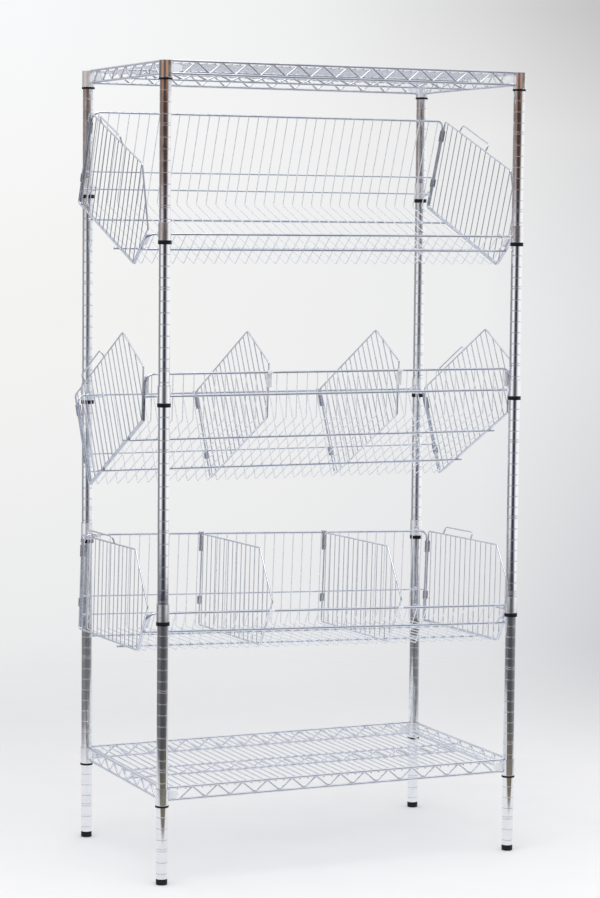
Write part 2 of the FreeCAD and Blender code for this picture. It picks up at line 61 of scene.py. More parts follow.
BODY_X, CORNER_R = 453.4, 20.0
PANEL_R, PANEL_WIRE_R, PANEL_PITCH = 1.9, 1.15, 26.0
PANEL_X = BODY_X + END_R + PANEL_R + 0.1
P5, P4, P1, P2, P3 = (0.0, 0.0), (386.0, 0.0), (5.0, 224.0), (362.0, 225.0), (446.5, 104.7)
BACK_TOP, BACK_MID, BACK_LOW = 224.06, 77.5, 34.0
FRONT_TOP, FRONT_MID = 103.5, 54.5
FLOOR_RODS = (100.0, 283.5)
TIERS = {
    "upper": dict(front=(56, 56), rear=(60, 60), rods=("low", "top"), shift=-9.5, inside=(3.0, 21.5, 1.5, 1.0)),
    "middle": dict(front=(42, 42), rear=(41, 41), rods=("top", "mid"), shift=-17.1, inside=(16.0, 24.0, 14.5, 27.5)),
    "lower": dict(front=(23, 22), rear=(28, 27), rods=("top", "top"), shift=-8.5, inside=(6.0, 17.0, 11.0, 15.5)),
}
DIVIDERS = (-155.5, 169.0)
DIVIDER_INSET, DIVIDER_RAISE = 6.35, 3.6
FRAME_OFF = np.array([9.5, 0.0, 0.0])
POSTS = {
    "front_left": (-POST_W / 2, -POST_D / 2),
    "front_right": (POST_W / 2, -POST_D / 2),
    "rear_left": (-POST_W / 2, POST_D / 2),
    "rear_right": (POST_W / 2, POST_D / 2),
}
FOLD_R = 7.0                 # bend radius of basket wires at the folds


def ring_z(n):
    return n * G - RING_DROP


# -------------------------------------------------------------- mesh helpers
class Build:
    """Collects vertices and faces of one piece, in millimetres."""

    def __init__(self):
        self.v, self.f, self.n = [], [], 0

    def add(self, verts, faces):
        verts = np.asarray(verts, float)
        self.v.append(verts)
        n = self.n
        self.f += [tuple(i + n for i in face) for face in faces]
        self.n += len(verts)

    def merge(self, other, rot=None, move=(0, 0, 0)):
        """Adds another build, turned and moved."""
        for v in [np.concatenate(other.v)]:
            if rot is not None:
                v = v @ np.asarray(rot).T
            self.add(v + np.asarray(move, float), other.f)


def rot_x(deg):
    c, s = math.cos(math.radians(deg)), math.sin(math.radians(deg))
    return np.array([[1, 0, 0], [0, c, -s], [0, s, c]])


def rot_y(deg):
    c, s = math.cos(math.radians(deg)), math.sin(math.radians(deg))
    return np.array([[c, 0, s], [0, 1, 0], [-s, 0, c]])


def rot_z(deg):
    c, s = math.cos(math.radians(deg)), math.sin(math.radians(deg))
    return np.array([[c, -s, 0], [s, c, 0], [0, 0, 1]])


def unit3(v):
    return v / max(1e-12, float(np.linalg.norm(v)))


def bend(points, radius, steps=6, closed=False):
    """A bent wire's centre line: each corner becomes an arc of that radius (one, or one per corner)."""
    p = [np.array(q, float) for q in points]
    n = len(p)
    radii = [radius] * n if np.isscalar(radius) else list(radius)
    out = []
    for i in range(n):
        if not closed and i in (0, n - 1):
            out.append(p[i])
            continue
        a, b, c = p[i - 1], p[i], p[(i + 1) % n]
        d1, d2 = unit3(b - a), unit3(c - b)
        cosa = float(np.clip(d1 @ d2, -1, 1))
        turn = math.acos(cosa)
        if turn < 0.02 or radii[i] <= 0:
            out.append(b)
            continue
        r = radii[i]
        t = r * math.tan(turn / 2)
        room = 0.48 * min(np.linalg.norm(b - a), np.linalg.norm(c - b))
        if t > room:
            r *= room / t
            t = room
        m = unit3(d2 - d1 * cosa)
        start = b - d1 * t
        centre = start + m * r
        k = max(2, int(round(steps * turn / (math.pi / 2))) + 1)
        for j in range(k + 1):
            f = turn * j / k
            out.append(centre - m * (r * math.cos(f)) + d1 * (r * math.sin(f)))
    return out


def tube(b, points, r, sides=10, closed=False, chamfer=0.35):
    """Round wire along points. Radius is one number or one per point. Open ends are cut square with a small chamfer."""
    p = np.array(points, float)
    rad = np.full(len(p), float(r)) if np.isscalar(r) else np.array(r, float)
    if not closed:
        c = chamfer * rad[0]
        e0, e1 = unit3(p[1] - p[0]), unit3(p[-1] - p[-2])
        p = np.concatenate([[p[0]], [p[0] + e0 * c], p[1:-1], [p[-1] - e1 * c], [p[-1]]])
        rad = np.concatenate([[rad[0] - c], [rad[0]], rad[1:-1], [rad[-1]], [rad[-1] - c]])
        t = np.empty_like(p)
        t[1:-1] = p[2:] - p[:-2]
        t[0], t[-1] = e0, e1
        t[1], t[-2] = e0, e1
        for i in range(2, len(p) - 2):
            t[i] = unit3(p[i] - p[i - 1]) + unit3(p[i + 1] - p[i])
    else:
        t = np.array([unit3(p[i] - p[i - 1]) + unit3(p[(i + 1) % len(p)] - p[i]) for i in range(len(p))])
    t = t / np.linalg.norm(t, axis=1)[:, None]
    n = len(p)
    ref = np.array([0, 0, 1.0]) if abs(t[0][2]) < 0.9 else np.array([1.0, 0, 0])
    a = unit3(np.cross(t[0], ref))
    normals = [a]
    for i in range(1, n):
        a = normals[-1]
        a = a - t[i] * float(a @ t[i])
        normals.append(unit3(a))
    twist = 0.0
    if closed:
        a = normals[-1] - t[0] * float(normals[-1] @ t[0])
        a = unit3(a)
        bn = np.cross(t[0], normals[0])
        twist = math.atan2(float(a @ bn), float(a @ normals[0]))
    ang = 2 * np.pi * (np.arange(sides) + 0.5) / sides
    verts = []
    for i in range(n):
        u = normals[i]
        w = np.cross(t[i], u)
        s = ang - (twist * i / n if closed else 0.0)
        verts.append(p[i] + rad[i] * (np.cos(s)[:, None] * u + np.sin(s)[:, None] * w))
    faces = []
    for i in range(n if closed else n - 1):
        j = (i + 1) % n
        for k in range(sides):
            q = (k + 1) % sides
            faces.append((i * sides + k, i * sides + q, j * sides + q, j * sides + k))
    if not closed:
        faces.append(tuple(range(sides))[::-1])
        faces.append(tuple((n - 1) * sides + k for k in range(sides)))
    b.add(np.concatenate(verts), faces)


def round_poly(points, radii, steps=4):
    """A closed 2-D outline with its corners rounded."""
    p3 = [(a, 0.0, c) for a, c in points]
    return [(float(q[0]), float(q[2])) for q in bend(p3, radii, steps, closed=True)]


def lathe(b, profile, x=0.0, y=0.0, z=0.0, seg=64, start=0.0, sweep=360.0):
    """Turns a closed (r, z) outline about a vertical axis at x, y."""
    full = abs(sweep - 360.0) < 1e-6
    cols = seg if full else seg + 1
    ang = np.radians(start + sweep * np.arange(cols) / seg)
    ca, sa = np.cos(ang), np.sin(ang)
    verts, index = [], []
    for r, h in profile:
        if r < 1e-6:
            index.append([len(verts)] * cols)
            verts.append((x, y, z + h))
        else:
            index.append(list(range(len(verts), len(verts) + cols)))
            verts += [(x + r * c, y + r * s, z + h) for c, s in zip(ca, sa)]
    faces = []
    m = len(profile)
    for i in range(m):
        j = (i + 1) % m
        if profile[i][0] < 1e-6 and profile[j][0] < 1e-6:
            continue
        for k in range(cols if full else cols - 1):
            q = (k + 1) % cols
            f = [index[i][k], index[i][q], index[j][q], index[j][k]]
            g = []
            for w in f:
                if w not in g:
                    g.append(w)
            if len(g) > 2:
                faces.append(tuple(g))
    if not full:
        faces.append(tuple(index[i][0] for i in range(m)))
        faces.append(tuple(index[i][-1] for i in range(m))[::-1])
    b.add(verts, faces)


def inset(points, c):
    """A 2-D outline moved inwards by c."""
    p = np.array(points, float)
    area = 0.5 * float(np.sum(p[:, 0] * np.roll(p[:, 1], -1) - np.roll(p[:, 0], -1) * p[:, 1]))
    sign = 1.0 if area > 0 else -1.0
    out = []
    for i in range(len(p)):
        d1, d2 = unit3(p[i] - p[i - 1]), unit3(p[(i + 1) % len(p)] - p[i])
        n1, n2 = sign * np.array([-d1[1], d1[0]]), sign * np.array([-d2[1], d2[0]])
        out.append(tuple(p[i] + (n1 + n2) * (c / max(0.35, 1.0 + float(n1 @ n2)))))
    return out


def prism(b, outline, place, w0, w1, edge=0.25):
    """Sheet or bar with that outline from w0 to w1, edges broken. place(a, b, w) gives the point."""
    small = inset(outline, edge)
    rings = [(small, w0), (outline, w0 + edge), (outline, w1 - edge), (small, w1)]
    verts = [place(q[0], q[1], w) for ring, w in rings for q in ring]
    m = len(outline)
    faces = [tuple(range(m))[::-1], tuple(3 * m + k for k in range(m))]
    for i in range(3):
        for k in range(m):
            q = (k + 1) % m
            faces.append((i * m + k, i * m + q, (i + 1) * m + q, (i + 1) * m + k))
    b.add(verts, faces)


def piece(name, build, material, body, nodes, sharp=40.0, second=None):
    """Makes the piece, in metres, and puts it in place of its CAD nodes. second: a material and the faces that wear it."""
    v = (np.concatenate(build.v) + FRAME_OFF) * 0.001
    me = bpy.data.meshes.new(name)
    me.from_pydata(v.tolist(), [], build.f)
    me.update()
    bm = bmesh.new()
    bm.from_mesh(me)
    bmesh.ops.recalc_face_normals(bm, faces=bm.faces)
    bm.to_mesh(me)
    bm.free()
    me.shade_smooth()
    me.set_sharp_from_angle(angle=math.radians(sharp))
    me.materials.append(material)
    if second:
        me.materials.append(second[0])
        me.polygons.foreach_set("material_index", [1 if k in second[1] else 0 for k in range(len(me.polygons))])
    ob = bpy.data.objects.new(name, me)
    bpy.context.scene.collection.objects.link(ob)
    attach(ob, body)
    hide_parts(*nodes)
    return ob


# ----------------------------------------------------------------- materials
def new_material(name):
    m = bpy.data.materials.new(name)
    m.use_nodes = True
    nt = m.node_tree
    nt.nodes.clear()
    out = nt.nodes.new("ShaderNodeOutputMaterial")
    bsdf = nt.nodes.new("ShaderNodeBsdfPrincipled")
    nt.links.new(bsdf.outputs["BSDF"], out.inputs["Surface"])
    return m, nt, bsdf


def noise(nt, scale, detail=3.0, stretch=None, rough=0.5):
    """Noise in the object's own space, in metres."""
    co = nt.nodes.new("ShaderNodeTexCoord")
    src = co.outputs["Object"]
    if stretch:
        mp = nt.nodes.new("ShaderNodeMapping")
        mp.inputs["Scale"].default_value = stretch
        nt.links.new(src, mp.inputs["Vector"])
        src = mp.outputs["Vector"]
    t = nt.nodes.new("ShaderNodeTexNoise")
    t.inputs["Scale"].default_value = scale
    t.inputs["Detail"].default_value = detail
    t.inputs["Roughness"].default_value = rough
    nt.links.new(src, t.inputs["Vector"])
    return t.outputs["Fac"]


def ranged(nt, value, lo, hi, f0=0.3, f1=0.7):
    m = nt.nodes.new("ShaderNodeMapRange")
    m.inputs["From Min"].default_value = f0
    m.inputs["From Max"].default_value = f1
    m.inputs["To Min"].default_value = lo
    m.inputs["To Max"].default_value = hi
    nt.links.new(value, m.inputs["Value"])
    return m.outputs["Result"]


def ramp(nt, value, stops, mode="LINEAR"):
    r = nt.nodes.new("ShaderNodeValToRGB")
    r.color_ramp.interpolation = mode
    while len(r.color_ramp.elements) > 1:
        r.color_ramp.elements.remove(r.color_ramp.elements[-1])
    r.color_ramp.elements[0].position = stops[0][0]
    r.color_ramp.elements[0].color = (*stops[0][1], 1)
    for pos, col in stops[1:]:
        e = r.color_ramp.elements.new(pos)
        e.color = (*col, 1)
    nt.links.new(value, r.inputs["Fac"])
    return r.outputs["Color"]


def bump(nt, height, distance, strength=1.0, under=None):
    b = nt.nodes.new("ShaderNodeBump")
    b.inputs["Strength"].default_value = strength
    b.inputs["Distance"].default_value = distance
    nt.links.new(height, b.inputs["Height"])
    if under is not None:
        nt.links.new(under, b.inputs["Normal"])
    return b.outputs["Normal"]


def chrome(name, light, dark, rough, along, peel=0.00002, haze=35.0, metal=1.0):
    """Bright chrome plate: faint haze, faint drawing lines along the wire or tube, a little orange peel."""
    m, nt, bsdf = new_material(name)
    bsdf.inputs["Metallic"].default_value = metal
    cloud = noise(nt, haze, 4.0)
    nt.links.new(ramp(nt, cloud, [(0.30, dark), (0.62, light)]), bsdf.inputs["Base Color"])
    lines = noise(nt, 1.0, 3.0, stretch=along)
    add = nt.nodes.new("ShaderNodeMath")
    add.operation = "MULTIPLY_ADD"
    nt.links.new(lines, add.inputs[0])
    add.inputs[1].default_value = 0.5
    nt.links.new(cloud, add.inputs[2])
    nt.links.new(ranged(nt, add.outputs["Value"], rough[0], rough[1], 0.5, 1.0), bsdf.inputs["Roughness"])
    fine = noise(nt, 420.0, 2.0)
    nt.links.new(bump(nt, fine, peel), bsdf.inputs["Normal"])
    return m


def plastic(name, dark, light, rough, grain=1500.0, depth=0.00004, specular=0.5):
    """Moulded plastic with a fine eroded grain and worn, slightly shinier patches."""
    m, nt, bsdf = new_material(name)
    bsdf.inputs["Specular IOR Level"].default_value = specular
    cloud = noise(nt, 90.0, 4.0)
    nt.links.new(ramp(nt, cloud, [(0.30, dark), (0.70, light)]), bsdf.inputs["Base Color"])
    nt.links.new(ranged(nt, cloud, rough[1], rough[0]), bsdf.inputs["Roughness"])
    nt.links.new(bump(nt, noise(nt, grain, 2.0), depth), bsdf.inputs["Normal"])
    return m


def steel(name, dark, light, rough, along, depth=0.00005, metal=1.0):
    """Rolled spring steel strip: lines along the strip, some tarnish."""
    m, nt, bsdf = new_material(name)
    bsdf.inputs["Metallic"].default_value = metal
    cloud = noise(nt, 160.0, 4.0)
    nt.links.new(ramp(nt, cloud, [(0.32, dark), (0.66, light)]), bsdf.inputs["Base Color"])
    lines = noise(nt, 1.0, 4.0, stretch=along)
    nt.links.new(ranged(nt, lines, rough[0], rough[1]), bsdf.inputs["Roughness"])
    nt.links.new(bump(nt, lines, depth), bsdf.inputs["Normal"])
    return m


M_POST = chrome("post_chrome_plate", (0.95, 0.95, 0.96), (0.88, 0.89, 0.91), (0.035, 0.11), (900.0, 900.0, 9.0))
# painted light: a lighter, partly diffuse copy of the post chrome that lifts the dark reflections on the rear posts
M_REAR_POST_PAINTED_LIGHT = chrome("rear_post_chrome_painted_light", (0.93, 0.94, 0.96), (0.85, 0.87, 0.90), (0.05, 0.14), (900.0, 900.0, 9.0), metal=0.92)
# painted shade: a darker, rougher copy of the post chrome worn by the groove walls, so the grooves show as dark lines
M_GROOVE_PAINTED_SHADE = chrome("groove_chrome_painted_shade", (0.66, 0.66, 0.68), (0.56, 0.56, 0.58), (0.16, 0.30), (60.0, 60.0, 900.0))
M_COLLAR = chrome("collar_chrome_plate", (0.94, 0.94, 0.95), (0.86, 0.87, 0.89), (0.05, 0.14), (500.0, 500.0, 60.0), metal=0.94)
# painted light: a lighter, half diffuse copy of the collar chrome for the rear collars, lifting their dark reflections
M_COLLAR_REAR_PAINTED_LIGHT = chrome("rear_collar_chrome_painted_light", (0.94, 0.95, 0.97), (0.86, 0.88, 0.91), (0.08, 0.18), (500.0, 500.0, 60.0), metal=0.6)
M_SHELF = chrome("shelf_chrome_plate", (0.89, 0.92, 0.97), (0.78, 0.81, 0.88), (0.07, 0.20), (12.0, 500.0, 500.0), metal=0.96)
M_BASKET = chrome("basket_chrome_plate", (0.86, 0.90, 0.97), (0.74, 0.78, 0.87), (0.08, 0.22), (14.0, 420.0, 420.0))
M_PANEL = chrome("panel_chrome_plate", (0.86, 0.89, 0.95), (0.74, 0.78, 0.85), (0.08, 0.22), (420.0, 60.0, 60.0), metal=0.88)
# painted light: a near-white, mostly diffuse copy of the basket chrome that lifts the mesh wires towards the bright
# reflections they show
M_WIRE_PAINTED_LIGHT = chrome("mesh_wire_chrome_painted_light", (0.89, 0.92, 0.97), (0.80, 0.83, 0.89), (0.20, 0.36), (60.0, 420.0, 420.0), metal=0.36)
# painted light: a near-white, mostly diffuse copy of the collar chrome for the gussets
M_GUSSET_PAINTED_LIGHT = chrome("gusset_chrome_painted_light", (0.94, 0.96, 1.0), (0.87, 0.89, 0.94), (0.30, 0.46), (200.0, 200.0, 40.0), metal=0.3)
# painted light: the front clips get a near-white, mostly diffuse copy of the clip steel, which lifts them where they
# sit in shade
M_CLIP_PAINTED_LIGHT = steel("front_clip_steel_painted_light", (0.80, 0.81, 0.86), (0.93, 0.94, 0.98), (0.22, 0.40), (900.0, 60.0, 60.0), metal=0.35)
M_SPRING = steel("rear_clip_spring_steel", (0.46, 0.47, 0.50), (0.64, 0.65, 0.69), (0.22, 0.40), (900.0, 60.0, 60.0))
M_ZINC = steel("zinc_plated_steel", (0.50, 0.50, 0.47), (0.70, 0.70, 0.68), (0.28, 0.46), (300.0, 300.0, 900.0))
M_SLEEVE = plastic("sleeve_plastic_black", (0.0045, 0.0048, 0.008), (0.011, 0.012, 0.018), (0.26, 0.42), specular=0.25)
M_FOOT = plastic("foot_plastic_black", (0.0045, 0.0048, 0.007), (0.013, 0.014, 0.018), (0.30, 0.52), grain=1100.0, depth=0.00007, specular=0.2)
M_CAP = plastic("cap_plastic_grey", (0.045, 0.046, 0.050), (0.075, 0.077, 0.082), (0.34, 0.52), grain=1300.0)


# --------------------------------------------------------------------- posts
def groove_heights():
    hs = [G * k for k in range(1, 72) if G * k < POST_TOP - 3]
    hs += [G * (3 + 7 * j) + 5.0 for j in range(10) if G * (3 + 7 * j) + 5.0 < POST_TOP - 3]
    return sorted(hs)


post_profile = [(POST_R - POST_WALL, POST_BOTTOM), (POST_R - 0.3, POST_BOTTOM), (POST_R - 0.08, POST_BOTTOM + 0.08),
                (POST_R, POST_BOTTOM + 0.3)]
for h in groove_heights():
    # rolled groove with a flat bottom; the outer pair of rings keeps the tube between two grooves straight in its shading
    post_profile += [(POST_R, h - 1.3), (POST_R, h - 0.9), (POST_R - 0.06, h - 0.8), (POST_R - 0.44, h - 0.66),
                     (POST_R - 0.5, h - 0.56), (POST_R - 0.5, h - 0.4), (POST_R - 0.5, h + 0.4), (POST_R - 0.5, h + 0.56),
                     (POST_R - 0.44, h + 0.66), (POST_R - 0.06, h + 0.8), (POST_R, h + 0.9), (POST_R, h + 1.3)]
post_profile += [(POST_R, POST_TOP), (POST_R - POST_WALL, POST_TOP)]
# faces of the groove walls, which wear the painted-shade chrome
groove_shade_faces = {i * 64 + k for i in range(len(post_profile) - 1) for k in range(64)
           if abs(post_profile[i][0] - post_profile[i + 1][0]) > 0.01 and POST_BOTTOM + 1.0 < post_profile[i][1] < POST_TOP - 1.0}
for name, (x, y) in POSTS.items():
    b = Build()
    lathe(b, post_profile, x, y, seg=64)
    # the rear posts wear the painted-light copy of the chrome
    piece("tube_post_" + name, b, M_POST if y < 0 else M_REAR_POST_PAINTED_LIGHT, "rack", ["post_" + name], sharp=60.0,
          second=(M_GROOVE_PAINTED_SHADE, groove_shade_faces))

IR = POST_R - POST_WALL
cap_profile = [(0.0, 2.6), (3.5, 2.5), (6.0, 2.28), (8.4, 1.95), (10.4, 1.45), (11.6, 0.95), (12.25, 0.5), (12.4, 0.2),
               (12.4, 0.0), (IR - 0.05, 0.0), (IR - 0.05, -12.0), (IR - 1.8, -13.0), (IR - 1.8, -0.8), (0.0, -0.8)]
b = Build()
for x, y in POSTS.values():
    lathe(b, cap_profile, x, y, POST_TOP, seg=48)
piece("domed_post_caps", b, M_CAP, "rack", ["post_caps"])

STUD_R = 4.7
stud = [(STUD_R, 12.6)]
z = 16.0
while z < POST_BOTTOM + 44.0:                     # rolled thread, a ring per turn
    stud += [(STUD_R, z - 0.6), (STUD_R - 0.55, z), (STUD_R, z + 0.6)]
    z += 1.5
foot_profile = [(0.0, 0.0), (11.7, 0.0), (12.25, 0.25), (12.6, 0.8), (12.8, 2.2), (12.9, 4.0), (12.9, 5.6), (12.62, 5.9),
                (12.62, 6.5), (12.9, 6.8), (12.9, 10.2), (12.75, 11.4), (12.3, 12.3), (11.8, 12.6)] + stud + [
                (STUD_R, POST_BOTTOM + 46.0), (STUD_R - 1.0, POST_BOTTOM + 47.0), (0.0, POST_BOTTOM + 47.0)]
for name, (x, y) in POSTS.items():
    b = Build()
    lathe(b, foot_profile, x, y, seg=48)
    piece("moulded_foot_" + name, b, M_FOOT, "levelling_foot_" + name, ["levelling_foot_" + name])


# ------------------------------------------------------- sleeves and collars
RING_TIER, TALL_TIER = 8.6, 44.0
RING_SHELF, TALL_SHELF = 4.6, 38.0


def sleeve_profile(tall, ring):
    ri = POST_R + 0.05
    o0, o1 = COLLAR_R0 - COLLAR_WALL - 0.03, COLLAR_R1 - COLLAR_WALL - 0.03
    bead = RING_DROP + G
    return [(ri, 0.15), (ri + 0.15, 0.0), (RING_R - 0.5, 0.0), (RING_R - 0.14, 0.16), (RING_R, 0.55),
            (RING_R, ring - 0.5), (RING_R - 0.12, ring - 0.12), (RING_R - 0.4, ring), (o0, ring), (o1, tall), (ri, tall),
            (ri, bead + 0.5), (ri - 0.22, bead + 0.2), (ri - 0.3, bead), (ri - 0.22, bead - 0.2), (ri, bead - 0.5)]


def sleeves(tall, ring, places):
    b = Build()
    for x, y, z in places:
        for start in (2.0, 182.0):
            lathe(b, sleeve_profile(tall, ring), x, y, z, seg=36, start=start, sweep=176.0)
    return b


def collar(b, x, y, z, z0, z1):
    w = COLLAR_WALL

    def cone(h):
        return (COLLAR_R0 + (COLLAR_R1 - COLLAR_R0) * (h - z0 - 0.3) / (z1 - z0 - 0.65), h)

    prof = [(COLLAR_R0 - w, z0), (COLLAR_R0 - 0.25, z0), (COLLAR_R0 - 0.07, z0 + 0.09), cone(z0 + 0.3), cone(z0 + 0.9),
            cone(z1 - 0.95), cone(z1 - 0.35), (COLLAR_R1 - 0.08, z1 - 0.1), (COLLAR_R1 - 0.3, z1), (COLLAR_R1 - w, z1)]
    lathe(b, prof, x, y, z, seg=64)


def hook(b, x, y, z, turn):
    """J hook bent from flat bar and welded to the collar, pointing into the rack."""
    t = HOOK_T
    r0 = COLLAR_R0 - 0.7
    outline = [(r0, HOOK_TOP - t - 5.0), (r0 + t + 0.1, HOOK_TOP - t - 5.0), (r0 + t + 0.6, HOOK_TOP - t),
               (HOOK_SLOT1 + t, HOOK_TOP - t), (HOOK_SLOT1 + t, HOOK_TOP + HOOK_LIP), (HOOK_SLOT1, HOOK_TOP + HOOK_LIP),
               (HOOK_SLOT1, HOOK_TOP), (r0 + t + 0.2, HOOK_TOP), (r0 + t + 0.2, HOOK_TOP + 14.0), (r0, HOOK_TOP + 14.0)]
    radii = [0.0, 0.8, 1.2, 3.6, 1.15, 1.15, 1.3, 3.0, 1.0, 0.0]
    outline = round_poly(outline, radii, 5)
    right, front = x > 0, y < 0
    turn = turn if right else -turn
    if not front:
        turn = 180.0 - turn
    r = rot_z(turn)

    def place(a, c, w):
        return tuple(r @ np.array([w, a, c]) + np.array([x, y, z]))

    prism(b, outline, place, -HOOK_W / 2, HOOK_W / 2, 0.45)


def tier_places(t):
    fl, fr = TIERS[t]["front"]
    rl, rr = TIERS[t]["rear"]
    n = {"front_left": fl, "front_right": fr, "rear_left": rl, "rear_right": rr}
    return [(x, y, ring_z(n[k])) for k, (x, y) in POSTS.items()]


# ------------------------------------------------------------------- shelves
def wave(length, zlo, zhi, low_r, high_r):
    """Bent zigzag wire: round low bends, tighter tops."""
    n = max(2, 2 * int(round(length / TRUSS_PITCH)))
    step = length / n
    pts = [(-length / 2 + i * step, 0.0, zhi if i % 2 else zlo) for i in range(n + 1)]
    radii = [high_r if i % 2 else low_r for i in range(n + 1)]
    return bend(pts, radii, 9)


def truss(b, length, turn, x, y, z0, low_r, high_r):
    part = Build()
    for z in (LOW_RAIL, HIGH_RAIL):
        tube(part, [(-length / 2, 0, z), (length / 2, 0, z)], RAIL_R, 20, chamfer=0.1)
    tube(part, wave(length - 2 * GUSSET_L - 6.0, LOW_RAIL + 1.2, HIGH_RAIL - 1.2, low_r, high_r), TRUSS_R, 12)
    b.merge(part, rot_z(turn), (x, y, z0))


def gussets(b, x, y, z0):
    """Two pressed wings between the rails."""
    sx, sy = (1 if x < 0 else -1), (1 if y < 0 else -1)
    lo, hi = LOW_RAIL + RAIL_R + 0.05, DECK_Z - DECK_R - 0.6
    pts = [(COLLAR_R0 - 0.35, lo), (COLLAR_R0 + GUSSET_L - 8.0, lo), (COLLAR_R0 + GUSSET_L, lo + 5.0),
           (COLLAR_R0 + GUSSET_L, hi - 5.0), (COLLAR_R0 + GUSSET_L - 8.0, hi), (COLLAR_R0 - 0.35, hi)]
    pts = round_poly(pts, [0, 3.0, 2.2, 2.2, 3.0, 0], 4)
    prism(b, pts, lambda a, c, w: (x + sx * a, y + w, z0 + c), -GUSSET_T / 2, GUSSET_T / 2, 0.3)
    prism(b, pts, lambda a, c, w: (x + w, y + sy * a, z0 + c), -GUSSET_T / 2, GUSSET_T / 2, 0.3)


def shelf(name, n, label, low_r, high_r):
    z0 = ring_z(n)
    places = [(x, y, z0) for x, y in POSTS.values()]
    piece(label + "_sleeve_halves", sleeves(TALL_SHELF, RING_SHELF, places), M_SLEEVE, "rack",
          [name + "_split_sleeves"])
    # the rear collars wear the painted-light copy of the collar chrome
    for row, mat in (("front", M_COLLAR), ("rear", M_COLLAR_REAR_PAINTED_LIGHT)):
        b = Build()
        for p in places:
            if (p[1] < 0) == (row == "front"):
                collar(b, *p, RING_SHELF + 0.2, 42.6)
        piece(label + "_" + row + "_collars", b, mat, "rack", [name + "_corner_collars"])
    b = Build()
    for p in places:
        gussets(b, *p)
    piece(label + "_gussets", b, M_GUSSET_PAINTED_LIGHT, "rack", [name + "_corner_collars"])
    run_x, run_y = POST_W - 2 * (COLLAR_R0 + 0.1), POST_D - 2 * (COLLAR_R0 + 0.1)
    b = Build()
    for s in (-1, 1):
        truss(b, run_x, 0, 0, s * POST_D / 2, z0, low_r, high_r)
    piece(label + "_long_rails", b, M_SHELF, "rack", [name + "_long_trusses"])
    b = Build()
    for s in (-1, 1):
        truss(b, run_y, 90, s * POST_W / 2, 0, z0, low_r, high_r)
    piece(label + "_end_rails", b, M_SHELF, "rack", [name + "_end_trusses"])
    zd, ye, mid_r = z0 + DECK_Z, POST_D / 2 - TRUSS_R - 0.2, 2.5
    mid_z = zd - DECK_R - mid_r + 0.4
    xr = POST_W / 2 - RAIL_R - 0.2
    b = Build()
    tube(b, [(-xr, 0, mid_z), (xr, 0, mid_z)], mid_r, 16, chamfer=0.15)
    for i in range(DECK_COUNT):
        x = (i - (DECK_COUNT - 1) / 2) * DECK_PITCH
        tube(b, [(x, -ye, zd), (x, ye, zd)], DECK_R, 12, chamfer=0.3)
    piece(label + "_deck_wires", b, M_SHELF, "rack", [name + "_deck"])
    top = mid_z - mid_r - TRUSS_R * 1.25
    b = Build()
    tube(b, [(-xr, 0, z0 + LOW_RAIL), (xr, 0, z0 + LOW_RAIL)], mid_r, 16, chamfer=0.15)
    tube(b, wave(xr * 2 - 30.0, z0 + LOW_RAIL + 1.2, top + 0.4, 6.0, 4.0), TRUSS_R, 12)
    piece(label + "_middle_rails", b, M_SHELF, "rack", [name + "_middle_truss"])


shelf("top_shelf", TOP_SHELF_N, "upper_shelf", 4.5, 3.5)
shelf("bottom_shelf", BOTTOM_SHELF_N, "floor_shelf", 10.0, 4.0)


# ------------------------------------------------------------------- baskets
def unit(a, b):
    dx, dy = b[0] - a[0], b[1] - a[1]
    n = math.hypot(dx, dy)
    return (dx / n, dy / n)


EB = unit(P5, P1)
NB = (-EB[1], EB[0])
EF = unit(P4, P3)
NF = (EF[1], -EF[0])


def on_back(s, out=0.0):
    return (P5[0] + EB[0] * s + NB[0] * out, P5[1] + EB[1] * s + NB[1] * out)


def on_front(s, out=0.0):
    return (P4[0] + EF[0] * s + NF[0] * out, P4[1] + EF[1] * s + NF[1] * out)


OUT_THIN = WIRE_R + THIN_R - 0.3
OUT_ROD = WIRE_R + ROD_R - 0.4
CARRY = {
    ("rear", "top"): (on_back(BACK_TOP), ROD_R),
    ("rear", "low"): (on_back(BACK_LOW, OUT_THIN), THIN_R),
    ("front", "top"): (on_front(FRONT_TOP), ROD_R),
    ("front", "mid"): (on_front(FRONT_MID, OUT_ROD), ROD_R),
}


def basket_place(t):
    """The same resting place as in part.py: rotation, move and half distance of the carrying rods."""
    d = TIERS[t]
    (ra, rr), (fa, fr) = CARRY[("rear", d["rods"][0])], CARRY[("front", d["rods"][1])]
    zr = (ring_z(d["rear"][0]) + ring_z(d["rear"][1])) / 2 + HOOK_TOP + REST_GAP + rr
    zf = (ring_z(d["front"][0]) + ring_z(d["front"][1])) / 2 + HOOK_TOP + REST_GAP + fr
    du, dv = fa[0] - ra[0], fa[1] - ra[1]
    length = math.hypot(du, dv)
    dz = zf - zr
    h = math.sqrt(length * length - dz * dz)
    theta = math.atan2(dz, h) - math.atan2(dv, du)
    yr = h / 2
    y5 = yr + ra[0] * math.cos(theta) - ra[1] * math.sin(theta)
    z5 = zr - ra[0] * math.sin(theta) - ra[1] * math.cos(theta)
    drop = (d["front"][0] - d["front"][1]) * G
    rho = math.degrees(math.atan2(drop / 2, POST_W / 2 - sum(d["inside"]) / 4))
    z5 -= d["shift"] * math.sin(math.radians(rho))
    return rot_y(rho) @ rot_x(-math.degrees(theta)), np.array([d["shift"], y5, z5]), yr


def L(x, uv):
    return (x, -uv[0], uv[1])


def wires_x():
    return [(i - (WIRE_COUNT - 1) / 2) * WIRE_PITCH for i in range(WIRE_COUNT)]


